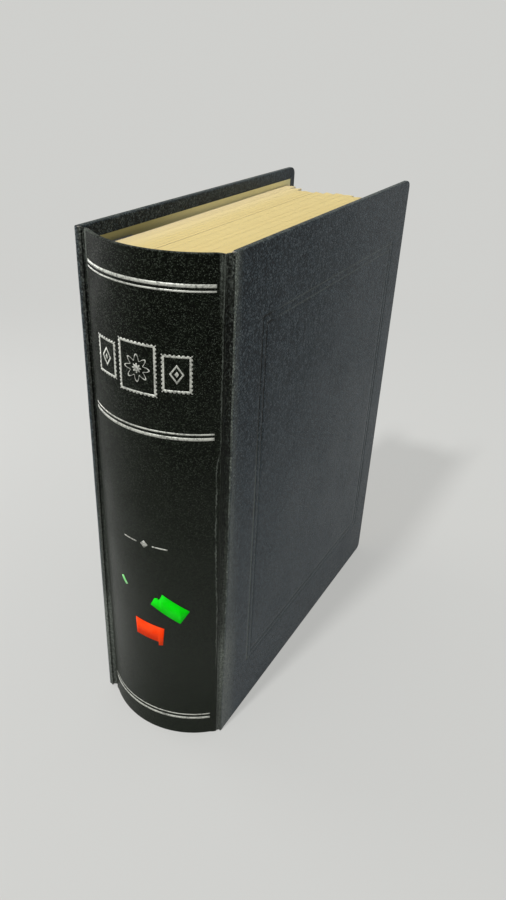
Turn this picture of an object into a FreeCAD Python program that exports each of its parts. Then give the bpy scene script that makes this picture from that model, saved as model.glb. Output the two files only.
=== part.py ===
import FreeCAD, Part

import math
import os
import re

import Sketcher

# A loose-leaf stamp album: a rounded-spine case, hinged covers, and leaves clamped on two screw posts.
# The album stands on its tail edge: +Z is up, the spine faces -Y and the front cover is at +X.
# Depths are measured from the spine's apex towards the fore edge, then moved so the origin is central.

DRIVING_SIZES = {
    "cover_height": 300,
    "cover_depth": 220,
    "case_thickness": 84,
    "cover_setback": 17.7,
    "case_slip": 4,
    "corner_radius": 4.5,
    "edge_round": 0.9,
    "board_thickness": 2.5,
    "cloth_thickness": 0.5,
    "paper_thickness": 0.2,
    "turn_in": 15,
    "paper_inset": 7,
    "frame_from_head": 37.5,
    "frame_from_fore": 18,
    "frame_from_joint": 31,
    "frame_line": 0.7,
    "frame_pitch": 1.9,
    "frame_sink": 0.25,
    "spine_radius": 54,
    "spine_front_angle": 46,
    "spine_back_angle": 40,
    "spine_liner": 1.5,
    "front_groove_radius": 3,
    "front_groove_inset": 1,
    "front_groove_ahead": 3,
    "back_groove_radius": 1.9,
    "back_groove_inset": 5.5,
    "back_groove_ahead": 0.8,
    "joint_end_gap": 0.3,
    "leaf_height": 279,
    "leaf_rise": 10.5,
    "binding_edge": 18,
    "swing_depth": 67,
    "margin_stack": 69.2,
    "fore_stack": 75,
    "section_gap": 0.12,
    "flyleaf_thickness": 0.4,
    "flyleaf_depth": 225,
    "flap_start": 23,
    "flap_width": 26,
    "flap_thickness": 2,
    "head_room": 1.2,
    "hinge_cloth": 0.3,
    "hinge_fold": 1.5,
    "hinge_reach": 30.2,
    "post_depth": 37,
    "post_spacing": 178,
    "post_radius": 2.5,
    "post_bore": 1.8,
    "post_bore_depth": 12,
    "screw_radius": 1.7,
    "screw_length": 10,
    "head_radius": 5.5,
    "head_height": 0.9,
    "head_bevel": 0.5,
    "slot_width": 1,
    "slot_sink": 0.4,
    "hole_radius": 2.8,
}

# How deep each leaf section reaches, front to back: the leaves have crept on their posts.
SECTION_REACH = [214, 213.5, 214, 216.5, 219, 219, 216, 213, 210.5, 209, 215, 221]

# Sums of the driving sizes that several pieces share.
COVER = "(board_thickness + 2 * cloth_thickness)"
INNER_FACE = f"(case_thickness / 2 - {COVER})"
PAPER_FACE = f"({INNER_FACE} - paper_thickness)"
FLAP_FACE = f"({PAPER_FACE} - head_room)"
FRONT_EDGE = "(cover_setback + case_slip)"
BACK_EDGE = "(cover_setback - case_slip)"
APEX = f"-({FRONT_EDGE} + cover_depth) / 2"

# Shorter than this is no length at all.
FLAT = 1e-6

doc = FreeCAD.newDocument("stamp_album")
nodes = []

sizes = doc.addObject("Spreadsheet::Sheet", "Sizes")
for row, (alias, value) in enumerate(DRIVING_SIZES.items(), start=1):
    sizes.set(f"A{row}", alias)
    sizes.set(f"B{row}", str(value))
    sizes.setAlias(f"B{row}", alias)
doc.recompute()


def sized(text):
    """Point every driving size named in an expression at its cell."""
    return re.sub(r"[a-z_]+", lambda m: f"Sizes.{m[0]}" if m[0] in DRIVING_SIZES else m[0], text)


def number(text):
    return float(sizes.evalExpression(sized(text)))


def bind(item, **expressions):
    for name, text in expressions.items():
        item.setExpression(name.replace("__", "."), sized(text))


def place(item, x="0", y=APEX, z="0"):
    bind(item, Placement__Base__x=x, Placement__Base__y=y, Placement__Base__z=z)


def node(item, label):
    item.Label = label
    nodes.append(item)


def sketch_on(body, role, offset="0"):
    plane = next(item for item in body.Origin.OriginFeatures if item.Role == role)
    sketch = body.newObject("Sketcher::SketchObject", "Sketch")
    sketch.AttachmentSupport = [(plane, "")]
    sketch.MapMode = "FlatFace"
    bind(sketch, AttachmentOffset__Base__z=offset)
    return sketch


def constrain(sketch, text, kind, *targets):
    """Add a dimension to a sketch and drive it by an expression."""
    index = sketch.addConstraint(Sketcher.Constraint(kind, *targets, number(text)))
    sketch.setExpression(f"Constraints[{index}]", sized(text))


def pin_point(sketch, geometry, end, x, y):
    constrain(sketch, x, "DistanceX", -1, 1, geometry, end)
    constrain(sketch, y, "DistanceY", -1, 1, geometry, end)


def arc_through(start, finish, radius):
    """A short arc between two points, bulging to the right of its travel where the radius is positive."""
    chord = finish - start
    across = FreeCAD.Vector(-chord.y, chord.x, 0).normalize()
    rise = math.sqrt(radius ** 2 - (chord.Length / 2) ** 2)
    centre = (start + finish) / 2 + across * math.copysign(rise, radius)
    first, last = (start, finish) if radius > 0 else (finish, start)
    angles = [math.atan2(p.y - centre.y, p.x - centre.x) for p in (first, last)]
    if angles[1] < angles[0]:
        angles[1] += 2 * math.pi
    return Part.ArcOfCircle(Part.Circle(centre, FreeCAD.Vector(0, 0, 1), abs(radius)), *angles)


def outline(sketch, corners):
    """Close a loop through corners given as (x, y), or (x, y, radius) where an arc arrives there."""
    points = [FreeCAD.Vector(number(c[0]), number(c[1]), 0) for c in corners]
    ends = []
    for start, finish, corner in zip(points[-1:] + points, points, corners):
        if len(corner) == 2:
            geometry = sketch.addGeometry(Part.LineSegment(start, finish), False)
            ends.append((geometry, 1, 2))
        else:
            geometry = sketch.addGeometry(arc_through(start, finish, number(corner[2])), False)
            ends.append((geometry, 1, 2) if number(corner[2]) > 0 else (geometry, 2, 1))
            constrain(sketch, f"abs({corner[2]})", "Radius", geometry)
    for before, after, corner in zip(ends, ends[1:] + ends[:1], corners):
        sketch.addConstraint(Sketcher.Constraint("Coincident", before[0], before[2], after[0], after[1]))
        pin_point(sketch, before[0], before[2], corner[0], corner[1])


def rectangle(sketch, low_x, low_y, high_x, high_y):
    outline(sketch, [(low_x, low_y), (high_x, low_y), (high_x, high_y), (low_x, high_y)])


def circle(sketch, x, y, radius):
    centre = FreeCAD.Vector(number(x), number(y), 0)
    ring = sketch.addGeometry(Part.Circle(centre, FreeCAD.Vector(0, 0, 1), number(radius)), False)
    pin_point(sketch, ring, 3, x, y)
    constrain(sketch, radius, "Radius", ring)


def pad(body, sketch, length):
    feature = body.newObject("PartDesign::Pad", "Pad")
    feature.Profile = sketch
    bind(feature, Length=length)
    doc.recompute()


def round_over(body, picked):
    """Round the picked edges of a body as the covering cloth rounds them."""
    base = body.Tip
    names = [f"Edge{n}" for n, edge in enumerate(base.Shape.Edges, start=1) if picked(edge)]
    feature = body.newObject("PartDesign::Fillet", "Fillet")
    feature.Base = (base, names)
    bind(feature, Radius="edge_round")
    doc.recompute()


def pocket(body, sketch, length):
    """Cut from the sketch's plane, against its normal."""
    before = body.Shape.Volume
    feature = body.newObject("PartDesign::Pocket", "Pocket")
    feature.Profile = sketch
    bind(feature, Length=length)
    doc.recompute()
    if body.Shape.Volume >= before:
        raise RuntimeError(f"a pocket of {body.Label} cuts nothing")


# The covers, built lying from the joint (y 0) to the fore edge, inner face at x 0, centred in height.
# The back cover is the same cover turned half round the depth axis.

def cover_outline(sketch, inset, joint):
    half = f"(cover_height / 2 - {inset})"
    deep = f"(cover_depth - {inset})"
    radius = f"(corner_radius - {inset})"
    outline(sketch, [
        (joint, f"-{half}"),
        (f"{deep} - {radius}", f"-{half}"),
        (deep, f"-{half} + {radius}", radius),
        (deep, f"{half} - {radius}"),
        (f"{deep} - {radius}", half, radius),
        (joint, half),
    ])


def place_cover(body, side):
    front = side == "front"
    body.Placement.Rotation = FreeCAD.Rotation(FreeCAD.Vector(0, 1, 0), 0 if front else 180)
    edge = FRONT_EDGE if front else BACK_EDGE
    place(body, INNER_FACE if front else f"-{INNER_FACE}", f"{APEX} + {edge}", "cover_height / 2")


def cover_cloth(side):
    body = doc.addObject("PartDesign::Body", f"{side}_cover_cloth")
    wrap = sketch_on(body, "YZ_Plane")
    cover_outline(wrap, "0", "0")
    pad(body, wrap, COVER)
    round_over(body, lambda edge: edge.BoundBox.XLength < FLAT and edge.BoundBox.YMax > FLAT)
    board_space = sketch_on(body, "YZ_Plane", "board_thickness + cloth_thickness")
    cover_outline(board_space, "cloth_thickness", "-1")
    pocket(body, board_space, "board_thickness")
    window = sketch_on(body, "YZ_Plane", "cloth_thickness")
    window_half = "(cover_height / 2 - turn_in)"
    rectangle(window, "-1", f"-{window_half}", "cover_depth - turn_in", window_half)
    pocket(body, window, "cloth_thickness")
    for line in range(2):
        tooled = sketch_on(body, "YZ_Plane", COVER)
        for step in (f"{line} * frame_pitch", f"({line} * frame_pitch + frame_line)"):
            half = f"(cover_height / 2 - frame_from_head - {step})"
            rectangle(tooled, f"frame_from_joint + {step}", f"-{half}",
                      f"cover_depth - frame_from_fore - {step}", half)
        pocket(body, tooled, "frame_sink")
    place_cover(body, side)
    node(body, f"{side}_cover_cloth")


def cover_board(side):
    body = doc.addObject("PartDesign::Body", f"{side}_board")
    sheet = sketch_on(body, "YZ_Plane", "cloth_thickness")
    cover_outline(sheet, "cloth_thickness", "0")
    pad(body, sheet, "board_thickness")
    place_cover(body, side)
    node(body, f"{side}_board")


def cover_paper(side):
    body = doc.addObject("PartDesign::Body", f"{side}_lining_paper")
    sheet = sketch_on(body, "YZ_Plane", "-paper_thickness")
    half = "(cover_height / 2 - paper_inset)"
    rectangle(sheet, "cloth_thickness", f"-{half}", "cover_depth - paper_inset", half)
    pad(body, sheet, "paper_thickness")
    pressed_in = sketch_on(body, "YZ_Plane")
    half = "(cover_height / 2 - turn_in)"
    rectangle(pressed_in, "cloth_thickness", f"-{half}", "cover_depth - turn_in", half)
    pad(body, pressed_in, "cloth_thickness")
    place_cover(body, side)
    node(body, f"{side}_lining_paper")


# The spine: a curved liner, wrapped in cloth that turns in at the head and tail, and lined inside.

def spine_end(side, depth, past="0"):
    """Where the spine's curve ends at one side, at a depth below its outer face."""
    sign = 1 if side == "front" else -1
    radius = f"(spine_radius - {depth})"
    angle = f"(spine_{side}_angle + {past})"
    return f"{sign} * {radius} * sin({angle})", f"spine_radius - {radius} * cos({angle})"


def band(sketch, outer, inner, past="0"):
    """A curved band about the spine's centre, given its depths below the spine's outer face."""
    outline(sketch, [
        spine_end("back", outer, past),
        (*spine_end("front", outer, past), f"spine_radius - {outer}"),
        spine_end("front", inner, past),
        (*spine_end("back", inner, past), f"-(spine_radius - {inner})"),
    ])


LINER_IN = "(cloth_thickness + spine_liner)"
SPINE_IN = "(2 * cloth_thickness + spine_liner)"


def spine_cloth():
    body = doc.addObject("PartDesign::Body", "spine_cloth")
    wrap = sketch_on(body, "XY_Plane")
    band(wrap, "0", SPINE_IN)
    pad(body, wrap, "cover_height")
    outer = number("spine_radius")
    round_over(body, lambda edge: abs(getattr(edge.Curve, "Radius", 0) - outer) < FLAT)
    liner_space = sketch_on(body, "XY_Plane", "cover_height - cloth_thickness")
    band(liner_space, "cloth_thickness", LINER_IN, "1")
    pocket(body, liner_space, "cover_height - 2 * cloth_thickness")
    window = sketch_on(body, "XY_Plane", "cover_height - turn_in")
    band(window, LINER_IN, f"({SPINE_IN} + 1)", "1")
    pocket(body, window, "cover_height - 2 * turn_in")
    place(body)
    node(body, "spine_cloth")


def curved_layer(label, outer, inner, rise):
    body = doc.addObject("PartDesign::Body", label)
    layer = sketch_on(body, "XY_Plane")
    band(layer, outer, inner)
    pad(body, layer, f"cover_height - 2 * {rise}")
    place(body, z=rise)
    node(body, label)


# The outer joint cloth dips from the spine's edge into a round groove and runs out along the board's edge.
# The case leans, so the front groove lies ahead of its board and meets its edge smoothly, and the back one
# lies between board and spine.

def tangent_angle(start, centre, radius, turn):
    """The angle at which a straight run from start touches the circle, on the side that turn gives."""
    away = start - centre
    return math.atan2(away.y, away.x) + turn * math.acos(radius / away.Length)


def on_circle(centre, radius, angle):
    return centre + FreeCAD.Vector(math.cos(angle), math.sin(angle), 0) * radius


def joint_cloth(side):
    front = side == "front"
    sign = 1 if front else -1
    edge = FRONT_EDGE if front else BACK_EDGE
    body = doc.addObject("PartDesign::Body", f"{side}_joint_cloth")
    sketch = sketch_on(body, "XY_Plane")
    middle = (f"{sign} * (case_thickness / 2 - {side}_groove_inset)", f"{edge} - {side}_groove_ahead")
    centre = FreeCAD.Vector(number(middle[0]), number(middle[1]), 0)
    outer_x = number(f"{sign} * case_thickness / 2")
    runs = []
    for depth in ("cloth_thickness", "0"):
        radius = f"({side}_groove_radius - cloth_thickness + {depth})"
        line = f"({edge} - cloth_thickness + {depth})"
        start = spine_end(side, depth)
        at = FreeCAD.Vector(number(start[0]), number(start[1]), 0)
        touch = tangent_angle(at, centre, number(radius), -sign)
        lift = math.pi / 2 if front else math.asin((number(line) - centre.y) / number(radius))
        leave = lift if front else math.pi - lift
        corner = FreeCAD.Vector(outer_x, number(line), 0)
        groove = Part.Circle(centre, FreeCAD.Vector(0, 0, 1), number(radius))
        angles = sorted(angle % (2 * math.pi) for angle in (touch, leave))
        top = on_circle(centre, number(radius), leave)
        run = sketch.addGeometry(Part.LineSegment(at, on_circle(centre, number(radius), touch)), False)
        arc = sketch.addGeometry(Part.ArcOfCircle(groove, *angles), False)
        rise = sketch.addGeometry(Part.LineSegment(top, corner), False)
        first, last = (2, 1) if front else (1, 2)
        sketch.addConstraint(Sketcher.Constraint("Tangent", run, 2, arc, first))
        sketch.addConstraint(Sketcher.Constraint("Tangent" if front else "Coincident", arc, last, rise, 1))
        sketch.addConstraint(Sketcher.Constraint("Horizontal", rise))
        pin_point(sketch, run, 1, *start)
        pin_point(sketch, arc, 3, *middle)
        constrain(sketch, radius, "Radius", arc)
        constrain(sketch, f"{sign} * case_thickness / 2", "DistanceX", -1, 1, rise, 2)
        if not front:
            constrain(sketch, line, "DistanceY", -1, 1, rise, 2)
        runs.append((run, rise, at, corner))
    for end, place_in_run in ((1, 2), (2, 3)):
        line = sketch.addGeometry(Part.LineSegment(runs[0][place_in_run], runs[1][place_in_run]), False)
        for side_end, run in enumerate(runs, start=1):
            sketch.addConstraint(Sketcher.Constraint("Coincident", line, side_end, run[end - 1], end))
    pad(body, sketch, "cover_height - 2 * joint_end_gap")
    place(body, z="joint_end_gap")
    node(body, f"{side}_joint_cloth")


# The binding flaps, and the cloth folded double that hinges each to the inside of its cover.

POST_HEIGHTS = [f"cover_height / 2 {sign} post_spacing / 2" for sign in "-+"]


def punched_strip(label, x, thickness, start, finish):
    """A leaf-high strip between two depths, with a hole for each post."""
    body = doc.addObject("PartDesign::Body", label)
    sketch = sketch_on(body, "YZ_Plane")
    rectangle(sketch, start, "leaf_rise", finish, "leaf_rise + leaf_height")
    for height in POST_HEIGHTS:
        circle(sketch, "post_depth", height, "hole_radius")
    pad(body, sketch, thickness)
    place(body, x)
    node(body, label)


def inner_hinge(side):
    sign = 1 if side == "front" else -1
    edge = FRONT_EDGE if side == "front" else BACK_EDGE
    body = doc.addObject("PartDesign::Body", f"{side}_inner_hinge")
    sketch = sketch_on(body, "XY_Plane")
    fold = f"({edge} + hinge_fold)"
    flap_side = f"{sign} * {FLAP_FACE}"
    cover_side = f"{sign} * {PAPER_FACE}"
    inner_flap = f"{sign} * ({FLAP_FACE} + hinge_cloth)"
    inner_cover = f"{sign} * ({PAPER_FACE} - hinge_cloth)"
    outline(sketch, [
        (flap_side, fold), (cover_side, fold), (cover_side, "hinge_reach"), (inner_cover, "hinge_reach"),
        (inner_cover, f"{fold} + hinge_cloth"), (inner_flap, f"{fold} + hinge_cloth"),
        (inner_flap, "hinge_reach"), (flap_side, "hinge_reach"),
    ])
    pad(body, sketch, "leaf_height")
    place(body, z="leaf_rise")
    node(body, f"{side}_inner_hinge")


# Two screw posts hold the flaps and the leaf margins together.

def turned(label, corners, height):
    """A piece turned about the X axis from (x, radius) corners, at one post."""
    body = doc.addObject("PartDesign::Body", label)
    sketch = sketch_on(body, "XY_Plane")
    outline(sketch, corners)
    feature = body.newObject("PartDesign::Revolution", "Revolution")
    feature.Profile = sketch
    feature.ReferenceAxis = (sketch, ["H_Axis"])
    feature.Angle = 360
    doc.recompute()
    place(body, y=f"{APEX} + post_depth", z=height)
    node(body, label)
    return body


def post_barrel(label, height):
    mouth = f"({FLAP_FACE} - head_height)"
    turned(label, [
        (f"-{FLAP_FACE} - head_height", "0"),
        (mouth + " - post_bore_depth", "0"),
        (mouth + " - post_bore_depth", "post_bore"),
        (mouth, "post_bore"),
        (mouth, "post_radius"),
        (f"-{FLAP_FACE}", "post_radius"),
        (f"-{FLAP_FACE}", "head_radius"),
        (f"-{FLAP_FACE} - head_height + head_bevel", "head_radius"),
        (f"-{FLAP_FACE} - head_height", "head_radius - head_bevel"),
    ], height)


def post_screw(label, height):
    body = turned(label, [
        (f"{FLAP_FACE} - screw_length", "0"),
        (f"{FLAP_FACE} + head_height", "0"),
        (f"{FLAP_FACE} + head_height", "head_radius - head_bevel"),
        (f"{FLAP_FACE} + head_height - head_bevel", "head_radius"),
        (FLAP_FACE, "head_radius"),
        (FLAP_FACE, "screw_radius"),
        (f"{FLAP_FACE} - screw_length", "screw_radius"),
    ], height)
    slot = sketch_on(body, "YZ_Plane", f"{FLAP_FACE} + head_height")
    rectangle(slot, "-head_radius", "-slot_width / 2", "head_radius", "slot_width / 2")
    pocket(body, slot, "slot_sink")


# Leaves: each section has a punched margin that bends at its crease, and a swinging part that fans out
# a little towards the fore edge. The flyleaves lie outside the sections.

def swinging_leaves(label, near, far, reach):
    """A wedge of leaves from the bending margin to its fore edge, between two pairs of x limits."""
    wedge = doc.addObject("Part::Wedge", label)
    bind(wedge, Xmin=near[0], Xmax=near[1], X2min=far[0], X2max=far[1])
    bind(wedge, Ymin="swing_depth", Ymax=reach)
    bind(wedge, Zmin="0", Zmax="leaf_height", Z2min="0", Z2max="leaf_height")
    place(wedge, z="leaf_rise")
    node(wedge, label)


def stack_at(depth):
    """How thick the pile of leaves is at a depth: it widens evenly as far as the flyleaves reach."""
    spread = "(fore_stack - margin_stack) / (flyleaf_depth - swing_depth)"
    return f"(margin_stack + ({depth} - swing_depth) * {spread})"


def leaf_section(index, reach):
    count = len(SECTION_REACH)
    steps = (f"(0.5 - {index + 1} / {count})", f"(0.5 - {index} / {count})")
    near = [f"{step} * margin_stack {edge} section_gap / 2" for step, edge in zip(steps, "+-")]
    far = [f"{step} * {stack_at(reach)} {edge} section_gap / 2" for step, edge in zip(steps, "+-")]
    thickness = f"margin_stack / {count} - section_gap"
    punched_strip(f"leaf_margin_{index + 1:02d}", near[0], thickness, "binding_edge", "swing_depth")
    swinging_leaves(f"leaves_{index + 1:02d}", near, far, str(reach))


def flyleaf(side):
    def between(stack):
        inner = f"({stack} / 2 + section_gap / 2)"
        outer = f"({inner} + flyleaf_thickness)"
        return (inner, outer) if side == "front" else (f"-{outer}", f"-{inner}")
    near = between("margin_stack")
    punched_strip(f"{side}_flyleaf_margin", near[0], "flyleaf_thickness", "binding_edge", "swing_depth")
    swinging_leaves(f"{side}_flyleaf", near, between("fore_stack"), "flyleaf_depth")


for side in ("front", "back"):
    cover_cloth(side)
    cover_board(side)
    cover_paper(side)
    joint_cloth(side)
    inner_hinge(side)
    flyleaf(side)
spine_cloth()
curved_layer("spine_liner", "cloth_thickness", LINER_IN, "cloth_thickness")
curved_layer("spine_lining", LINER_IN, SPINE_IN, "turn_in")
for side, face in (("front", f"{FLAP_FACE} - flap_thickness"), ("back", f"-{FLAP_FACE}")):
    punched_strip(f"{side}_flap", face, "flap_thickness", "flap_start", "flap_start + flap_width")
for name, height in zip(("lower", "upper"), POST_HEIGHTS):
    post_barrel(f"{name}_post_barrel", height)
    post_screw(f"{name}_post_screw", height)
for index, reach in enumerate(SECTION_REACH):
    leaf_section(index, reach)

doc.recompute()
failed = [item.Label for item in doc.Objects if {"Invalid", "Error"} & set(item.State)]
failed += [item.Label for item in nodes if item.Shape.isNull() or not item.Shape.isValid()]
if failed:
    raise RuntimeError(f"these pieces failed: {failed}")
os.makedirs("parts", exist_ok=True)
for item in nodes:
    item.Shape.exportStep(f"parts/{item.Label}.step")
print(len(nodes), "pieces written")
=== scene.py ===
import math
import random

import bmesh
import bpy
from mathutils import Matrix, Vector, noise as perlin


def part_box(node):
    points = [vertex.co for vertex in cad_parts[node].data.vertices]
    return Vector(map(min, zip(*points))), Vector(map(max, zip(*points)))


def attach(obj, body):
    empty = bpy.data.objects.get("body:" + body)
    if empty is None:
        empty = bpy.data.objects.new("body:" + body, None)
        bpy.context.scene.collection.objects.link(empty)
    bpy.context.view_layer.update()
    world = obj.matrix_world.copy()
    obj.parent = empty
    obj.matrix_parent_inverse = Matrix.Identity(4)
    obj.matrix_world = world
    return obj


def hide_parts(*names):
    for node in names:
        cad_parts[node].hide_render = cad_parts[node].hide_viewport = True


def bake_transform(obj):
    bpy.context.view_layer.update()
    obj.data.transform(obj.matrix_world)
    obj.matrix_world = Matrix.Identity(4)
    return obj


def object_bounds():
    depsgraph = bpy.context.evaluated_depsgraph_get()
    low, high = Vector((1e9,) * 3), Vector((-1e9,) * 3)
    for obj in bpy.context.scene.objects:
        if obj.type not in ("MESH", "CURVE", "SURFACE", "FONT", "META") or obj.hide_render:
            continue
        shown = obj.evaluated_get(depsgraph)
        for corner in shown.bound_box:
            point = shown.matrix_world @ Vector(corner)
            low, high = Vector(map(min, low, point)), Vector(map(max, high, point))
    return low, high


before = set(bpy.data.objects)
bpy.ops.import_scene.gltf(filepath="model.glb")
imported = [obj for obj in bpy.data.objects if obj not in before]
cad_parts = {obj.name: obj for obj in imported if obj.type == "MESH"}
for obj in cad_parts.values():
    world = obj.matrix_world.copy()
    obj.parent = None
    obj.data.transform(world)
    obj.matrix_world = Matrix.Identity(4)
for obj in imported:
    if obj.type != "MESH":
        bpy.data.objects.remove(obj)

cad_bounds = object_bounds()
MM = 0.001

# Leaves
# About three hundred sheets of cream album paper in twelve sections, yellowed and toned along their cut
# edges. They are punched and clamped along the binding edge and bend at a crease past the clamp.
section_count = 12
leaves_per_section = 24
leaf_share = 0.93
crease_width = 15 * MM
trim_scatter = 0.035 * MM
slipped_scatter = 0.18 * MM
slipped_leaves = 0.03
depth_scatter = 0.25 * MM
page_cream = (0.80, 0.73, 0.55, 1)
cut_cream = (0.91, 0.74, 0.335, 1)
cut_toned = (0.80, 0.62, 0.25, 1)
cut_fresh = (0.97, 0.80, 0.48, 1)
fresh_share = 0.55
front_toning = 0.3
tone_drift = 0.35
crease_steps = 5
page_steps = 4
print_grey = (0.42, 0.41, 0.36, 1)
print_strength = 0.5
print_softness = 1 * MM
page_frame = (62 * MM, 205 * MM, 14 * MM, 265 * MM)
page_line = 0.5 * MM
space_frame = (5 * MM, 35 * MM, 3 * MM, 38 * MM)
space_line = 0.35 * MM
space_pitch = (45 * MM, 46 * MM)
spaces_start = (70 * MM, 24 * MM)
spaces_end = (200 * MM, 253 * MM)

margin_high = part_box("front_flyleaf_margin")[1]
fan_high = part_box("front_flyleaf")[1]
crease_end = margin_high.y
crease_start = crease_end - crease_width
fan_rate = (fan_high.x / margin_high.x - 1) / (fan_high.y - crease_end)


class Shade:
    """One output of a material's nodes. Arithmetic on it adds Math nodes."""

    def __init__(self, tree, socket=None):
        self.tree = tree
        self.socket = socket

    def node(self, kind, settings, inputs, output=0):
        """Adds a node: its settings first, then the values or links of its sockets."""
        made = self.tree.nodes.new("ShaderNode" + kind)
        for name, value in settings.items():
            setattr(made, name, value)
        for name, value in inputs.items():
            if isinstance(value, Shade):
                self.tree.links.new(value.socket, made.inputs[name])
            else:
                made.inputs[name].default_value = value
        return Shade(self.tree, made.outputs[output] if made.outputs else None)

    def math(self, operation, first, second=0.0):
        return self.node("Math", {"operation": operation}, {0: first, 1: second})

    def __add__(self, other):
        return self.math("ADD", self, other)

    def __sub__(self, other):
        return self.math("SUBTRACT", self, other)

    def __rsub__(self, other):
        return self.math("SUBTRACT", other, self)

    def __mul__(self, other):
        return self.math("MULTIPLY", self, other)

    def __truediv__(self, other):
        return self.math("DIVIDE", self, other)

    def __mod__(self, other):
        return self.math("FLOORED_MODULO", self, other)

    def __abs__(self):
        return self.math("ABSOLUTE", self)

    def above(self, other):
        return self.math("MAXIMUM", self, other)

    def below(self, other):
        return self.math("MINIMUM", self, other)

    __radd__ = __add__
    __rmul__ = __mul__

    def rise(self, low, high):
        """From 0 at low to 1 at high, smoothly."""
        ends = {"Value": self, "From Min": low, "From Max": high}
        return self.node("MapRange", {"interpolation_type": "SMOOTHSTEP"}, ends)

    def fade(self, first, second):
        """A colour that goes from the first to the second as this goes from 0 to 1."""
        return self.node("Mix", {"data_type": "RGBA"}, {0: self, 6: first, 7: second}, 2)


def new_finish(name):
    """An empty material and a start for its nodes."""
    material = bpy.data.materials.new(name)
    material.use_nodes = True
    material.node_tree.nodes.clear()
    return material, Shade(material.node_tree)


def read(nodes, name, output="Fac"):
    """A value that is stored on the mesh."""
    return nodes.node("Attribute", {"attribute_name": name}, {}, output)


def noise(nodes, place, scale, detail=2.0):
    """Cloudy noise: scale is in clouds per metre."""
    return nodes.node("TexNoise", {}, {"Vector": place, "Scale": scale, "Detail": detail})


def split(nodes, place):
    """The two coordinates of a place on a sheet."""
    return [nodes.node("SeparateXYZ", {}, {0: place}, axis) for axis in ("X", "Y")]


def solid_place(nodes):
    """Where a point is on a rigid piece."""
    return nodes.node("TexCoord", {}, {}, "Object")


def cover_with(nodes, colour, roughness, height, height_size, **constants):
    """Ends a material: one Principled surface with its relief."""
    normal = nodes.node("Bump", {}, {"Distance": height_size, "Height": height})
    inputs = {"Base Color": colour, "Roughness": roughness, "Normal": normal}
    for name, value in constants.items():
        inputs[name.replace("_", " ")] = value
    surface = nodes.node("BsdfPrincipled", {}, inputs)
    nodes.node("OutputMaterial", {}, {"Surface": surface})


def placed(name, data):
    """Adds an object with this mesh, light or camera to the scene."""
    made = bpy.data.objects.new(name, data)
    bpy.context.scene.collection.objects.link(made)
    return made


def store(mesh, name, kind, domain, values):
    """Keeps one value for each point or face of a mesh."""
    field = "vector" if kind == "FLOAT_VECTOR" else "value"
    layer = mesh.attributes.new(name, kind, domain)
    for item, value in zip(layer.data, values):
        setattr(item, field, value)


def sheets_of_paper(name, sheets):
    """Thin flat sheets that are clamped along the binding edge and fan out past the crease."""
    points = []
    faces = []
    tones = []
    places = []
    cut_faces = []
    for x, thickness, binding, fore, foot, head, tone in sheets:
        crease = [crease_start + crease_width * step / crease_steps for step in range(crease_steps + 1)]
        page = [crease_end + (fore - crease_end) * step / page_steps for step in range(1, page_steps + 1)]
        depths = [binding] + crease + page
        first = len(points)
        for y in depths:
            middle = x * (1 + fan_rate * max(0, y - crease_end))
            for side in (-0.5, 0.5):
                for z in (foot, head):
                    points.append((middle + side * thickness, y, z))
                    places.append((y - binding, z - foot, 0))
                    tones.append(tone)
        around = (0, 1, 3, 2)
        for station in range(len(depths) - 1):
            near = first + 4 * station
            for corner in range(4):
                a = near + around[corner]
                b = near + around[(corner + 1) % 4]
                faces.append((a, b, b + 4, a + 4))
                cut_faces.append(corner % 2)
        last = len(points) - 4
        faces.append((first, first + 2, first + 3, first + 1))
        faces.append((last, last + 1, last + 3, last + 2))
        cut_faces += [1, 1]
    mesh = bpy.data.meshes.new(name)
    mesh.from_pydata(points, [], faces)
    store(mesh, "tone", "FLOAT", "POINT", tones)
    store(mesh, "place", "FLOAT_VECTOR", "POINT", places)
    store(mesh, "cut", "FLOAT", "FACE", cut_faces)
    return placed(name, mesh)


def frame_line(x, y, left, right, foot, head, width):
    """1 on a printed rectangle's line, 0 off it."""
    past_side = abs(x - (left + right) / 2) - (right - left) / 2
    past_end = abs(y - (foot + head) / 2) - (head - foot) / 2
    return 1 - abs(past_side.above(past_end)).rise(width * 0.4, width * 0.6)


def between(value, low, high):
    """1 between low and high, 0 outside."""
    return value.rise(low - print_softness, low) * (1 - value.rise(high - print_softness, high))


leaf_paper, nodes = new_finish("album_leaf_paper")
place = read(nodes, "place", "Vector")
depth, height = split(nodes, place)
cut = read(nodes, "cut")
tone = read(nodes, "tone")
fibre = noise(nodes, place, 900, 3)
cloud = noise(nodes, place, 22)
border = frame_line(depth, height, *page_frame, page_line)
space_x = (depth - spaces_start[0]) % space_pitch[0]
space_y = (height - spaces_start[1]) % space_pitch[1]
space = frame_line(space_x, space_y, *space_frame, space_line)
in_rows = between(depth, spaces_start[0], spaces_end[0]) * between(height, spaces_start[1], spaces_end[1])
printed = border.above(space * in_rows) * print_strength
page = printed.fade((cloud * 0.35).fade(page_cream, cut_cream), print_grey)
edge = (tone * 0.6 + cloud * 0.2 - 0.05).fade(cut_cream, cut_toned)
edge = (0 - tone).fade(edge, cut_fresh)
cover_with(nodes, cut.fade(page, edge), 0.82 + fibre * 0.1, fibre, 0.05 * MM, Specular_IOR_Level=0.25)

scatter = random.Random(11)
shade = 0.5
fore_ends = [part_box(f"leaves_{section:02d}")[1].y for section in range(1, section_count + 1)]


def fore_end(position):
    """How far a leaf reaches: position counts sections, and a leaf takes its share of two neighbours."""
    low = min(section_count - 2, max(0, math.floor(position)))
    share = min(1, max(0, position - low))
    return fore_ends[low] + (fore_ends[low + 1] - fore_ends[low]) * share


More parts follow.
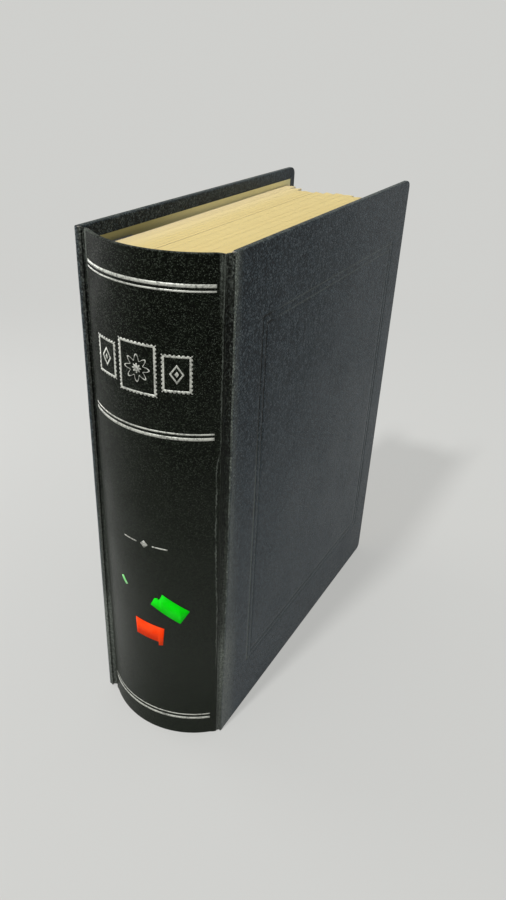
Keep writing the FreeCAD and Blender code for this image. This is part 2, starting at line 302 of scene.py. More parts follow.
for section in range(1, section_count + 1):
    low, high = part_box(f"leaf_margin_{section:02d}")
    pitch = (high.x - low.x) / leaves_per_section
    sheets = []
    for leaf in range(leaves_per_section):
        slip = slipped_scatter if scatter.random() < slipped_leaves else trim_scatter
        lift = scatter.uniform(-slip, slip)
        fore = fore_end(section - 1.5 + (leaf + 0.5) / leaves_per_section)
        reach = fore + scatter.uniform(-depth_scatter, depth_scatter)
        x = low.x + pitch * (leaf + 0.5)
        shade += (scatter.random() - shade) * tone_drift
        toned = shade * (1 - front_toning + front_toning * x / margin_high.x)
        toned -= max(0, 1 - (1 + x / margin_high.x) / fresh_share)
        sheets.append((x, pitch * leaf_share, low.y, reach, low.z + lift, high.z + lift, toned))
    piece = sheets_of_paper(f"album_leaves_{section:02d}", sheets)
    piece.data.materials.append(leaf_paper)
    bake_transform(piece)
    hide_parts(f"leaf_margin_{section:02d}", f"leaves_{section:02d}")

# Flyleaves
# One sheet of stiffer paper before the first leaf and one after the last. They are punched, clamped and
# creased as the leaves are, and reach nearly to the fore edge of the covers.
fly_cream = (0.78, 0.70, 0.50, 1)
fly_toned = (0.66, 0.54, 0.32, 1)
toned_fore = (170 * MM, 207 * MM)

flyleaf_paper, nodes = new_finish("flyleaf_paper")
place = read(nodes, "place", "Vector")
fibre = noise(nodes, place, 700, 4)
cloud = noise(nodes, place, 15)
depth = split(nodes, place)[0]
toning = (depth.rise(*toned_fore) * 0.6 + read(nodes, "cut") * 0.4 + cloud * 0.4).below(1)
cover_with(nodes, toning.fade(fly_cream, fly_toned), 0.8 + fibre * 0.1, fibre, 0.06 * MM)

for side in ("front", "back"):
    low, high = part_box(f"{side}_flyleaf_margin")
    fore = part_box(f"{side}_flyleaf")[1].y
    sheet = ((low.x + high.x) / 2, high.x - low.x, low.y, fore, low.z, high.z, 0)
    piece = sheets_of_paper(f"{side}_flyleaf_sheet", [sheet])
    piece.data.materials.append(flyleaf_paper)
    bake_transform(piece)
    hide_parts(f"{side}_flyleaf_margin", f"{side}_flyleaf")

# Flaps and posts
# A board flap lies on each side of the clamped margins, and two turned posts with slotted screws go through
# flaps and leaves. The flaps are dark board and the posts are plated steel.
flap_dark = (0.030, 0.032, 0.034, 1)
flap_worn = (0.075, 0.075, 0.072, 1)
post_pale = (0.62, 0.61, 0.58, 1)
post_dull = (0.40, 0.39, 0.36, 1)


def dress(node, material):
    """Gives a carried-over node its finish."""
    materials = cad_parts[node].data.materials
    materials.clear()
    materials.append(material)


flap_board, nodes = new_finish("flap_board")
place = solid_place(nodes)
fibre = noise(nodes, place, 1500, 3)
cloud = noise(nodes, place, 30, 3)
cover_with(nodes, cloud.rise(0.45, 0.8).fade(flap_dark, flap_worn), 0.55 + fibre * 0.2, fibre, 0.05 * MM)

post_steel, nodes = new_finish("post_steel")
place = solid_place(nodes)
turned = noise(nodes, place, 2500)
dull = noise(nodes, place, 200, 3).rise(0.4, 0.7)
cover_with(nodes, dull.fade(post_pale, post_dull), 0.28 + dull * 0.2, turned, 0.01 * MM, Metallic=1.0)

for side in ("front", "back"):
    dress(f"{side}_flap", flap_board)
for level in ("upper", "lower"):
    dress(f"{level}_post_barrel", post_steel)
    dress(f"{level}_post_screw", post_steel)

# Inner hinges
# A strip of black cloth folded along its length joins each flap to its cover: one half is glued to the
# flap and the other to the board.
hinge_black = (0.016, 0.017, 0.018, 1)
hinge_thread = (0.050, 0.051, 0.050, 1)
hinge_cloth_thickness = 0.3 * MM
hinge_leaf_step = 1.4 * MM
hinge_fold_steps = 16
hinge_level_steps = 20
hinge_glued = 0.15
thread = 0.5 * MM


def sweep(name, path, heights):
    """A sheet that follows a path across the album and runs upright between two heights."""
    mesh = bpy.data.meshes.new(name)
    points = []
    places = []
    run = 0.0
    for index, (x, y) in enumerate(path):
        if index:
            run += math.dist(path[index - 1], (x, y))
        for z in heights:
            points.append((x, y, z))
            places.append((run, z, 0))
    tall = len(heights)
    faces = []
    for index in range(len(path) - 1):
        for level in range(tall - 1):
            corner = index * tall + level
            faces.append((corner, corner + tall, corner + tall + 1, corner + 1))
    mesh.from_pydata(points, [], faces)
    store(mesh, "place", "FLOAT_VECTOR", "POINT", places)
    return placed(name, mesh)


def thicken(piece, thickness, offset):
    """Gives a sheet its thickness: offset -1 is below its faces, 0 is both ways."""
    solid = piece.modifiers.new("thickness", "SOLIDIFY")
    solid.thickness = thickness
    solid.offset = offset
    settled = piece.evaluated_get(bpy.context.evaluated_depsgraph_get())
    mesh = bpy.data.meshes.new_from_object(settled)
    piece.modifiers.clear()
    piece.data = mesh
    mesh.polygons.foreach_set("use_smooth", [True] * len(mesh.polygons))


hinge_cloth, nodes = new_finish("hinge_cloth")
place = read(nodes, "place", "Vector")
weft, warp = split(nodes, place)
weave = abs((weft / thread) % 1 - 0.5) + abs((warp / thread) % 1 - 0.5)
cover_with(nodes, weave.fade(hinge_thread, hinge_black), 0.7 + weave * 0.1, 1 - weave, 0.08 * MM)

for side, sign in (("front", 1), ("back", -1)):
    low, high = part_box(f"{side}_inner_hinge")
    inner, outer = sorted((abs(low.x), abs(high.x)))
    on_flap = inner + hinge_cloth_thickness / 2
    on_cover = outer - hinge_cloth_thickness / 2
    bend = (on_cover - on_flap) / 2
    straight = high.y - low.y - bend
    steps = round(straight / hinge_leaf_step)
    flap_half = [(on_flap, high.y - straight * step / steps) for step in range(steps)]
    fold = []
    for step in range(hinge_fold_steps + 1):
        angle = math.pi * step / hinge_fold_steps
        fold.append((on_flap + bend - bend * math.cos(angle), low.y + bend - bend * math.sin(angle)))
    cover_half = [(on_cover, y) for x, y in reversed(flap_half)]
    path = [(sign * x, y) for x, y in flap_half + fold + cover_half]
    level_step = (high.z - low.z) / hinge_level_steps
    levels = [low.z + level_step * step for step in range(hinge_level_steps + 1)]
    piece = sweep(f"{side}_hinge_strip", path, levels)
    thicken(piece, hinge_cloth_thickness, 0)
    piece.data.materials.append(hinge_cloth)
    start = sign * (on_flap + hinge_glued * bend)
    end = sign * (on_cover - hinge_glued * bend)
    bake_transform(piece)
    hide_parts(f"{side}_inner_hinge")

# Boards and spine liner
# Grey millboard stiffens both covers, a bent strip of it shapes the hollow spine, and a paper lining covers
# the inside of that strip.
board_grey = (0.23, 0.22, 0.20, 1)
board_fleck = (0.34, 0.32, 0.28, 1)
kraft_brown = (0.26, 0.19, 0.11, 1)
kraft_pale = (0.36, 0.27, 0.16, 1)

grey_board, nodes = new_finish("grey_board")
place = solid_place(nodes)
fleck = noise(nodes, place, 1200, 4)
cover_with(nodes, fleck.rise(0.45, 0.7).fade(board_grey, board_fleck), 0.9, fleck, 0.08 * MM)

kraft_paper, nodes = new_finish("kraft_lining")
place = solid_place(nodes)
fibre = noise(nodes, place, 800, 4)
cover_with(nodes, fibre.rise(0.3, 0.7).fade(kraft_brown, kraft_pale), 0.85, fibre, 0.05 * MM)

for node in ("front_board", "back_board", "spine_liner"):
    dress(node, grey_board)
dress("spine_lining", kraft_paper)

# Covering
# One skin of grained black leatherette is glued over the boards and the spine, pressed down into both
# joints and turned in over every edge. A double line is tooled into each cover, and every ridge is rubbed.
skin = 0.5 * MM
spine_centre = Vector((0, -66.85)) * MM
spine_radius = 54 * MM
spine_front_angle = 46
spine_back_angle = 40
spine_depth = 2.5 * MM
joint_depth = 1.0 * MM
cover_depth = 3.5 * MM
ridge_round = 1.2 * MM
cover_edge_round = 1.5 * MM
round_step = math.radians(12)
joint_dip = 0.7 * MM
ridge_dip = 0.2 * MM
album_height = cad_bounds[1].z
rim_width = 4.5 * MM
turn_in = 15 * MM
edge_softness = 1.0 * MM
edge_fullness = 2 / 3
edge_steps = 12
corner_steps = 9
edge_wear = 0.28
corner_wear = 1.3
face_wear = 0.35
face_wear_fade = 16 * MM
face_clearance = 0.4 * MM
spine_level_step = 3 * MM
cover_level_step = 5 * MM
cover_depth_step = 6 * MM
weld = 0.004 * MM
tooled_from_joint = 25.5 * MM
tooled_from_fore = 19 * MM
tooled_from_head = 36 * MM
tooled_width = 1.5 * MM
tooled_pitch = 4.0 * MM
tooled_sink = 0.32 * MM
beside_tooled = 2 * MM
ridge_reach = (0.5 * MM, 3 * MM)
slow_wave = 45 * MM
quick_wave = 9 * MM
bridge_reach = 6 * MM
spread_reach = 12 * MM


def outward(direction):
    """The outward side of a direction along the case."""
    return Vector((direction.y, -direction.x))


def rounded_path(corners):
    """Stations along straight runs with rounded corners.

    A station is a place outside, the place inside it, how far the skin dips at head and tail, and its wear.
    """
    stations = []
    last = len(corners) - 1
    for index, (point, radius, depth, dip, wear) in enumerate(corners):
        before = (point - corners[index - 1][0]).normalized() if index else None
        after = (corners[index + 1][0] - point).normalized() if index < last else before
        before = before or after
        turn = math.atan2(before.x * after.y - before.y * after.x, before.dot(after))
        heading = math.atan2(before.y, before.x)
        bulge = math.copysign(radius, turn)
        centre = point - before * radius * math.tan(abs(turn) / 2) - outward(before) * bulge
        steps = max(3, math.ceil(abs(turn) / round_step))
        shares = [step / steps for step in range(steps + 1)] if radius else [0.5]
        for share in shares:
            angle = heading + turn * share
            normal = outward(Vector((math.cos(angle), math.sin(angle))))
            place = centre + normal * bulge if radius else point
            crest = wear * (0.25 + 0.75 * math.sin(math.pi * share)) if radius else wear
            stations.append((place, place - normal * depth, dip, crest))
    return stations


def edge_profile():
    """The skin's way round an edge: inset from the edge, share of the depth, and wear."""
    profile = [(rim_width, 0, 0), (rim_width * 0.6, 0, 0)]
    for step in range(edge_steps + 1):
        angle = math.pi * step / edge_steps
        reach = math.sin(angle) ** edge_fullness
        along = math.copysign(abs(math.cos(angle)) ** edge_fullness, math.cos(angle))
        profile.append((edge_softness * (1 - reach), (1 - along) / 2, edge_wear * math.sin(angle)))
    return profile + [(rim_width, 1, 0), ((rim_width + turn_in) / 2, 1, 0), (turn_in, 1, 0)]


def settled_piece(name, bm):
    """Turns a mesh that is being built into an object of the scene."""
    mesh = bpy.data.meshes.new(name)
    bm.to_mesh(mesh)
    bm.free()
    return placed(name, mesh)


def wrapped_skin(name, path, heights, fore=None, run_start=0.0):
    """The skin over a path of stations, turned in at head and tail, and at the fore edge if there is one."""
    profile = edge_profile()
    runs = [run_start]
    for (near, *_), (far, *_) in zip(path, path[1:]):
        runs.append(runs[-1] + (far - near).length)
    bm = bmesh.new()
    flat_layer = bm.verts.layers.float_vector.new("cloth")
    wear_layer = bm.verts.layers.float.new("wear")
    bm.verts.layers.float.new("groove_mark")

    def point(x, y, z, flat, wear):
        vertex = bm.verts.new((x, y, z))
        vertex[flat_layer] = (*flat, 0)
        vertex[wear_layer] = wear
        return vertex

    def quilt(rows):
        for near, far in zip(rows, rows[1:]):
            for k in range(len(near) - 1):
                bm.faces.new((near[k], far[k], far[k + 1], near[k + 1]))

    def overshoot(depth):
        lengths = [-rim_width]
        for (inset_a, share_a, _), (inset_b, share_b, _) in zip(profile, profile[1:]):
            lengths.append(lengths[-1] + math.hypot(inset_b - inset_a, (share_b - share_a) * depth))
        return lengths

    def level_rim(index, head):
        place, inner, dip, wear = path[index]
        row = []
        for (inset, share, rub), past in zip(profile, overshoot((place - inner).length)):
            x, y = place.lerp(inner, share)
            if fore is not None:
                y = min(y, fore - inset)
            sunk = inset + dip * min(1, past / rim_width + 1)
            z = album_height - sunk if head else sunk
            flat = (runs[index], album_height + past if head else -past)
            row.append(point(x, y, z, flat, max(rub, wear if share < 0.5 else 0)))
        return row

    def fore_rim(z, turn_y, turn_z):
        """The rim at the fore edge: turn is its direction there, with both parts at a corner."""
        face_x = path[-1][0].x
        middle_run = runs[-1] + fore - rim_width - path[-1][0].y
        row = []
        for (inset, share, rub), past in zip(profile, overshoot(cover_depth)):
            spare = max(rim_width - inset, 0)
            y = min(fore - rim_width + spare * turn_y, fore - inset)
            height = min(max(z + spare * turn_z, inset), album_height - inset)
            stretch = max(rim_width + past, 0)
            flat = (middle_run + stretch * turn_y, z + stretch * turn_z)
            greying = rub * (corner_wear if turn_z else 1)
            row.append(point(face_x - cover_depth * share, y, height, flat, greying))
        return row

    face_rows = []
    for (place, _, _, wear), run in zip(path, runs):
        face_rows.append([point(*place, z, (run, z), wear) for z in heights])
    quilt(face_rows)
    head_rows = [level_rim(index, True) for index in range(len(path))]
    tail_rows = [level_rim(index, False) for index in reversed(range(len(path)))]
    if fore is None:
        quilt(head_rows)
        quilt(tail_rows)
    else:
        turns = [math.pi / 2 * (1 - step / corner_steps) for step in range(corner_steps + 1)]
        head_corner = [fore_rim(heights[-1], math.cos(a), math.sin(a)) for a in turns]
        side_rows = [fore_rim(z, 1, 0) for z in reversed(heights)]
        tail_corner = [fore_rim(heights[0], math.cos(a), -math.sin(a)) for a in reversed(turns)]
        quilt(head_rows + head_corner + side_rows + tail_corner + tail_rows)
    bmesh.ops.remove_doubles(bm, verts=bm.verts, dist=weld)
    return settled_piece(name, bm)


def steps_between(low, high, longest):
    """Even steps from low to high, none longer than asked."""
    count = max(1, math.ceil((high - low) / longest))
    return [low + (high - low) * step / count for step in range(count + 1)]


def line_stations(edge, direction):
    """Stations across a tooled double line, from its outer edge inwards: shoulder, bottom, shoulder."""
    widths = [line * tooled_pitch + tooled_width * step / 2 for line in range(2) for step in range(3)]
    return sorted(edge + direction * width for width in widths)


def with_lines(low, high, first, last, longest):
    """Stations over a cover face: even steps, with those of the tooled lines at both sides of the frame."""
    past = tooled_pitch + tooled_width + beside_tooled
    stations = steps_between(low, first - beside_tooled, longest) + line_stations(first, 1)
    stations += steps_between(first + past, last - past, longest) + line_stations(last, -1)
    return stations + steps_between(last + beside_tooled, high, longest)


def tool_frame(piece, joint, fore):
    """Presses the double line into the outer face of a cover, and notes where the groove lies, for the
    painted highlight and painted shade in it.
    """
    face = max(vertex.co.x for vertex in piece.data.vertices)
    groove_mark = piece.data.attributes["groove_mark"].data
    for vertex in piece.data.vertices:
        if vertex.co.x < face - 0.01 * MM:
            continue
        y, z = vertex.co.y, vertex.co.z
        inside = min(
            y - joint - tooled_from_joint,
            fore - tooled_from_fore - y,
            z - tooled_from_head,
            album_height - tooled_from_head - z,
        )
        for line in range(2):
            off = abs(inside - line * tooled_pitch - tooled_width / 2)
            press = max(0, 1 - 2 * off / tooled_width)
            vertex.co.x -= tooled_sink * press
            groove_mark[vertex.index].value += press


def ease(value, low, high):
    """From 0 at low to 1 at high, smoothly."""
    share = min(1, max(0, (value - low) / (high - low)))
    return share * share * (3 - 2 * share)


def wander(height, wave, seed):
    """From 0 to 1 and back along the height, unevenly."""
    return 0.5 + 0.5 * perlin.noise(Vector((height / wave, seed, 0)))


def rumple(piece):
    """Works the skin as use does: ridges wander, and both joints are bridged towards their tails."""
    for vertex in piece.data.vertices:
        place = Vector((vertex.co.x, vertex.co.y))
        height = vertex.co.z
        shift = Vector((0, 0))
        for seed, (ridge, way, slow, quick) in enumerate(ridges):
            near = 1 - ease((place - ridge).length, *ridge_reach)
            sway = wander(height, slow_wave, seed) * slow + wander(height, quick_wave, seed + 9) * quick
            shift += way * near * sway
        for start, end, fill, spread, low, high in bridges:
            chord = end - start
            lift = outward(chord.normalized())
            along = (place - start).dot(chord) / chord.length_squared
            off = abs(lift.dot(place - start))
            tail = 1 - ease(height, low, high)
            if 0 < along < 1 and off < bridge_reach:
                shift += lift * math.sin(math.pi * along) * fill * tail
            if 0 < along:
                past_edge = ease(place.y, end.y, end.y + spread_reach)
                shift.y -= spread * tail * min(along, 1) * (1 - past_edge)
        vertex.co.x += shift.x
        vertex.co.y += shift.y


def on_spine(degrees, proud=0):
    """A place on the spine's skin, or proud of it, so many degrees round from its middle to the front."""
    angle = math.radians(degrees)
    return spine_centre + (spine_radius + proud) * Vector((math.sin(angle), -math.cos(angle)))


# The spine and the covers share one black leatherette: the spine's colours are painted in shade, and the
# covers' are painted lit and bluish.
spine_shaded_crevice = (0.0008, 0.0013, 0.0006, 1)
spine_shaded_crest = (0.011, 0.0155, 0.0080, 1)
spine_shaded_glint = (0.080, 0.095, 0.075, 1)
spine_shaded_handled = (0.013, 0.0195, 0.0105, 1)
cover_lit_crevice = (0.003, 0.0070, 0.0105, 1)
cover_lit_crest = (0.047, 0.069, 0.084, 1)
cover_lit_glint = (0.094, 0.112, 0.122, 1)
cover_lit_handled = (0.031, 0.053, 0.071, 1)
wear_and_highlight_grey = (0.15, 0.168, 0.146, 1)
spine_grain = (0.52 * MM, 0.52 * MM)
cover_grain = (0.9 * MM, 1.6 * MM)
streak_size = (1.2 * MM, 9 * MM)
wrinkle_size = (2.2 * MM, 3.0 * MM)
crack_size = (2.4 * MM, 3.4 * MM)
grain_relief = 0.2 * MM
polish = 0.8
kink_height = 205 * MM
kink_length = 12 * MM
kink_depth = 1.6 * MM
crease_sway = 1.2 * MM
crease_fray = 2.0 * MM
crease_edge = (0.1 * MM, 0.5 * MM)

# Each pair of heights is where a mark begins and where it is full. Each end is where one dies out.
crease_heights = (50 * MM, 70 * MM)
kink_heights = (90 * MM, 150 * MM)
upper_heights = (120 * MM, 220 * MM)
head_heights = (264 * MM, 296 * MM)
headcap_heights = (285 * MM, 298 * MM)
wrinkled_heights = (190 * MM, 270 * MM)
cracked_heights = (175 * MM, 240 * MM)
scuffed_heights = (272 * MM, 296 * MM)
groove_shade_heights = (150 * MM, 220 * MM)
glossy_heights = (0, 75 * MM)
headcap_end = (-36 * MM, -16 * MM)
groove_shade_end = (40 * MM, 60 * MM)
first_line_end = (35.5 * MM, 37 * MM)
second_line_end = (42 * MM, 44 * MM)


def leatherette(name, crevice, crest, fleck, handled, grain, lively, paler, joint_end, crease, **constants):
    """Black leatherette: embossed pebbles, with painted glints on some of them, and ridges worn to grey.

    Where lively says 1, the grain is deep and dull. Where it says 0, handling has smoothed and polished it.
    Where the paleness that it is given says more than 0, the skin is paler, and on a cover part of that is a
    painted highlight. A joint, which is the skin before joint_end, takes the spine's colours, which are
    painted shade. A thin crease wanders along the distance that crease gives.
    """
    material, nodes = new_finish(name)
    cloth = read(nodes, "cloth", "Vector")
    wear = read(nodes, "wear")
    run, height = split(nodes, cloth)

    def stretched(width, length):
        return nodes.node("VectorMath", {"operation": "MULTIPLY"}, {0: cloth, 1: (1 / width, 1 / length, 0)})

    def pebbles(width, length):
        """The grain: its relief, a chance for each pebble, and a finer grain over it."""
        place = stretched(width, length)
        warp = noise(nodes, place, 0.45, 1)
        warp = nodes.node("CombineXYZ", {}, {0: warp * 0.6, 1: warp * -0.5})
        bent = nodes.node("VectorMath", {"operation": "ADD"}, {0: place, 1: warp})
        flat = {"voronoi_dimensions": "2D"}
        cells = {"Vector": bent, "Scale": 1.0}
        relief = nodes.node("TexVoronoi", {**flat, "feature": "DISTANCE_TO_EDGE"}, cells).rise(0.0, 0.3)
        cell_colour = nodes.node("TexVoronoi", {**flat, "feature": "F1"}, cells, "Color")
        return relief, nodes.node("SeparateColor", {}, {0: cell_colour}, "Red"), noise(nodes, place, 2.0, 3)

    cloud = noise(nodes, cloth, 28, 3)
    deep = (lively(run, height) + cloud * 0.6 - 0.3).above(0).below(1)
    pale = paler(run, height)
    face = run.rise(joint_end - 2 * MM, joint_end)
    pebble, chance, fine = pebbles(*grain)
    streak = noise(nodes, stretched(*streak_size), 1.0, 4)
    scuff = noise(nodes, cloth, 700, 3)
    wrinkle = noise(nodes, stretched(*wrinkle_size), 1.0, 4)
    upright = nodes.node("CombineXYZ", {}, {1: height})
    kink = (1 - height.rise(kink_height - kink_length, kink_height)) * height.rise(*kink_heights)
    crease_at = crease - kink * kink_depth - (noise(nodes, upright, 40, 4) - 0.5) * crease_sway
    creased = 1 - abs(run - crease_at - (scuff - 0.5) * crease_fray).rise(*crease_edge)
    creased = creased * height.rise(*crease_heights)
    top = (pebble * (0.1 + chance * 0.9) * (0.4 + fine * 1.2)).rise(0.08, 0.8)
    # Painted glints on some pebble tops, in the fleck colour.
    bright = chance.rise(0.6, 1.0) * pebble * fine.rise(0.35, 0.6) * deep * (0.5 + face * 0.5)
    headcap = (1 - run.rise(*headcap_end)) * height.rise(*headcap_heights)
    heavier = 0.4 + height.rise(*upper_heights) * 0.15 + height.rise(*head_heights) * 1.8 + headcap * 2.5
    grainy = 0.35 + pebble * (0.2 + chance * 0.7)
    worn = (wear * heavier * (streak * 2.2 + scuff * 1.2 - 0.95) - 0.12).rise(0.0, 0.75) * grainy
    worn = worn.above(creased * (streak * 2.4 - 0.75) * 0.8)
    cracks = (1 - pebbles(*crack_size)[0].rise(0.0, 0.5)) * scuff.rise(0.42, 0.6)
    crumpled = wrinkle.rise(0.52, 0.72) * (0.06 + height.rise(*wrinkled_heights) * 0.16)
    crumpled = crumpled.above(cracks * (0.05 + height.rise(*cracked_heights) * 0.3))
    crumpled = crumpled.above(scuff.rise(0.5, 0.62) * height.rise(*scuffed_heights) * 0.6) * (1 - face)
    # Where the tooled grooves get painted shade instead of a painted highlight: high up and near the joint.
    groove_shade_zone = height.rise(*groove_shade_heights) * (1 - run.rise(*groove_shade_end))
    beside_joint = 1 - run.rise(*first_line_end)
    pressed = read(nodes, "groove_mark")
    # A painted highlight in the tooled grooves, strongest beside the joint.
    groove_highlight = pressed * (1 - groove_shade_zone) * (0.15 + scuff * 0.3 + beside_joint * 0.45)
    # Grey for wear and paleness, and for the painted highlights along the cover's edge and in the tooled
    # grooves.
    greying = worn.above(crumpled).above(pale * (grainy + scuff.rise(0.4, 0.62))).above(groove_highlight)
    smooth = (1 - deep) * face * 0.75
    # In the joint the spine's colours stand for painted shade.
    colour = top.fade(face.fade(spine_shaded_crevice, crevice), face.fade(spine_shaded_crest, crest))
    mottle = 0.6 + scuff.rise(0.36, 0.64) * 0.8
    colour = smooth.fade(colour, ((0.35 + top * 0.9) * mottle).fade(crevice, handled))
    # Painted shade in the tooled grooves, high up near the joint.
    groove_shade = (pressed * groove_shade_zone * (1 - run.rise(*second_line_end))).rise(0.05, 0.7)
    colour = groove_shade.fade(colour, spine_shaded_crevice)
    # Painted glints first, then the grey of wear and of painted highlights.
    colour = greying.fade(bright.fade(colour, fleck), wear_and_highlight_grey)
    roughness = 0.36 + deep * 0.3 - top * 0.04 + worn * 0.12 + (mottle - 1) * 0.08
    relief = pebble * 0.75 + fine * 0.25 + creased * 0.8 + wrinkle * (1 - face) * 1.5
    glossy = (1 - deep) * face * polish * (0.3 + height.rise(*glossy_heights) * 0.7)
    cover_with(nodes, colour, roughness, relief, grain_relief, Coat_Weight=glossy, **constants)
    return material


def spine_lively(run, height):
    return height.rise(70 * MM, 275 * MM)


def spine_paler(run, height):
    return 0.0


def cover_lively(run, height):
    return (1 - run.rise(10 * MM, 190 * MM) * 0.6) * (0.1 + height.rise(100 * MM, 300 * MM) * 0.9)


def cover_paler_with_highlight(run, height):
    """Pale beside the joint: broadly towards the tail, and in a narrow band along the edge above that, which
    is a painted highlight.
    """
    foot = (1 - height.rise(60 * MM, 90 * MM)) * 0.3
    lower = (1 - height.rise(60 * MM, 240 * MM)) * 0.26
    tail = (1 - height.rise(10 * MM, 60 * MM)) * 0.2
    # A painted highlight along the cover's edge beside the joint.
    band = run.rise(7 * MM, 8.5 * MM) * (1 - run.rise(8.5 * MM, 13 * MM)) * height.rise(70 * MM, 170 * MM)
    return (1 - run.rise(8 * MM, 22 * MM)) * (foot + lower - tail) + band * 0.2


# The spine has no joint of its own, so its joint ends before it begins, and a cover's crease is off it.
spine_joint_end = -60 * MM
spine_crease = 43.6 * MM
cover_joint_end = 8 * MM
cover_crease = -20 * MM
spine_skin = leatherette(
    "spine_leatherette", spine_shaded_crevice, spine_shaded_crest, spine_shaded_glint, spine_shaded_handled, spine_grain,
    spine_lively, spine_paler, spine_joint_end, spine_crease,
    Specular_IOR_Level=0.05, Coat_IOR=1.25, Coat_Roughness=0.4,
)
cover_skin = leatherette(
    "cover_leatherette", cover_lit_crevice, cover_lit_crest, cover_lit_glint, cover_lit_handled, cover_grain,
    cover_lively, cover_paler_with_highlight, cover_joint_end, cover_crease, Specular_IOR_Level=0.17, Coat_IOR=1.02,
)

front_low, front_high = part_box("front_cover_cloth")
back_low, back_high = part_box("back_cover_cloth")
front_ridge = on_spine(spine_front_angle)
back_ridge = on_spine(-spine_back_angle)
front_groove = Vector((38.6 * MM, front_low.y - skin))
front_edge = Vector((front_high.x, front_low.y - skin))
back_edge = Vector((-back_low.x, back_low.y - skin))
back_edge_place = Vector((-back_edge.x, back_edge.y))

# A ridge is its place, the way it wanders, and how far it does so in long waves and in short ones.
ridges = [
    (front_ridge, Vector((0.72, -0.69)), 0.5 * MM, 0.35 * MM),
    (front_edge, Vector((0.3, -0.9)), 0.6 * MM, 0.4 * MM),
    (back_ridge, Vector((-0.64, -0.77)), 0.4 * MM, 0.3 * MM),
    (back_edge_place, Vector((0, -1)), 0.3 * MM, 0.2 * MM),
]

# A bridge is its two ends, how far it lifts and draws the skin, and the heights between which it dies out.
bridges = [
    (front_ridge, front_edge, 1.5 * MM, 2.6 * MM, 0, 130 * MM),
    (back_edge_place, back_ridge, 1.6 * MM, 0, 40 * MM, 230 * MM),
]
front_seam = front_ridge + Vector((0, 1.1)) * MM
back_seam = back_ridge + Vector((-0.13, 0.55)) * MM

# A corner is its place, its rounding, the depth of what the skin goes over, its dip and its wear.
spine_corners = [
    (back_seam, 0, joint_depth, joint_dip, 0.3),
    (back_ridge, ridge_round, joint_depth, ridge_dip, 1),
]
clear_of_ridge = 1.5
longest_turn = 1.6
full_depth_after = 4
first_turn = clear_of_ridge - spine_back_angle
last_turn = spine_front_angle - clear_of_ridge
for degrees in steps_between(first_turn, last_turn, longest_turn):
    to_end = min(degrees + spine_back_angle, spine_front_angle - degrees)
    depth = joint_depth + (spine_depth - joint_depth) * min(1, to_end / full_depth_after)
    wear = max(0, 0.7 - to_end * 0.22)
    spine_corners.append((on_spine(degrees), 0, depth, 0, wear))
spine_corners += [
    (front_ridge, ridge_round, joint_depth, ridge_dip, 0.8),
    (front_seam, 0, joint_depth, joint_dip, 0.3),
]
spine_path = rounded_path(spine_corners)
spine_levels = steps_between(rim_width, album_height - rim_width, spine_level_step)
back_run = -math.radians(spine_back_angle) * spine_radius
piece = wrapped_skin("spine_covering", spine_path, spine_levels, None, back_run)
rumple(piece)
thicken(piece, skin, -1)
piece.data.materials.append(spine_skin)
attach(piece, "binding")
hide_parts("spine_cloth")

front_corners = [
    (front_seam, 0, joint_depth, joint_dip, 0.3),
    (front_groove, 2.4 * MM, joint_depth, joint_dip, 0.25),
    # The front edge's wear is set high to paint a highlight along that edge as well as its wear.
    (front_edge, cover_edge_round, joint_depth, ridge_dip, 1.9),
]
back_groove = Vector((-back_seam.x + 0.35 * MM, back_low.y + 0.9 * MM))
back_groove_end = 37.9 * MM
back_bend_end = 38.2 * MM
back_face_start = 40.4 * MM
back_corners = [
    (Vector((-back_seam.x, back_seam.y)), 0, joint_depth, joint_dip, 0.3),
    (back_groove, 0.9 * MM, joint_depth, joint_dip, 0.25),
    (Vector((back_groove_end, back_groove.y)), 0.8 * MM, joint_depth, joint_dip, 0.25),
    (Vector((back_groove_end, back_edge.y)), 0.25 * MM, joint_depth, joint_dip, 0.25),
    (Vector((back_face_start, back_edge.y)), 0, joint_depth, joint_dip, 0.2),
    (back_edge, cover_edge_round, joint_depth, ridge_dip, 0.4),
]
top_line = album_height - tooled_from_head
cover_levels = with_lines(rim_width, album_height - rim_width, tooled_from_head, top_line, cover_level_step)
for side, corners, low, high in (
    ("front", front_corners, front_low, front_high),
    ("back", back_corners, back_low, back_high),
):
    face_x = corners[-1][0].x
    face_start = low.y + cover_edge_round + face_clearance
    near_line = low.y + tooled_from_joint
    far_line = high.y - tooled_from_fore
    face = []
    for y in with_lines(face_start, high.y - rim_width, near_line, far_line, cover_depth_step):
        wear = max(0, face_wear - (y - low.y) / face_wear_fade)
        face.append((Vector((face_x, y)), 0, cover_depth, 0, wear))
    piece = wrapped_skin(f"{side}_covering", rounded_path(corners + face), cover_levels, high.y)
    tool_frame(piece, low.y, high.y)
    if side == "back":
        piece.data.transform(Matrix.Scale(-1, 4, (1, 0, 0)))
        piece.data.flip_normals()
    rumple(piece)
    thicken(piece, skin, -1)
    piece.data.materials.append(cover_skin)
    if side == "front":
        start, end = (0, front_seam.y, 0), (0, front_edge.y, 0)
    else:
        start, end = (back_seam.x, 0, 0), (-back_bend_end, 0, 0)
    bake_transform(piece)
    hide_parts(f"{side}_joint_cloth", f"{side}_cover_cloth")

# Lining papers
# A sheet of yellowed paper is pasted inside each cover. It hides the board and the turned-in edges of
# the skin, and leaves a narrow border of skin all round.
lining_yellowed = (0.66, 0.60, 0.30, 1)
lining_pale = (0.80, 0.74, 0.42, 1)
lining_in_shade = (0.33, 0.30, 0.13, 1)
shade_depths = (-70 * MM, 5 * MM)

lining_paper, nodes = new_finish("lining_paper")
place = solid_place(nodes)
fibre = noise(nodes, place, 700, 4)
cloud = noise(nodes, place, 18, 3)
paper = (fibre * 0.5 + cloud * 0.5).fade(lining_yellowed, lining_pale)
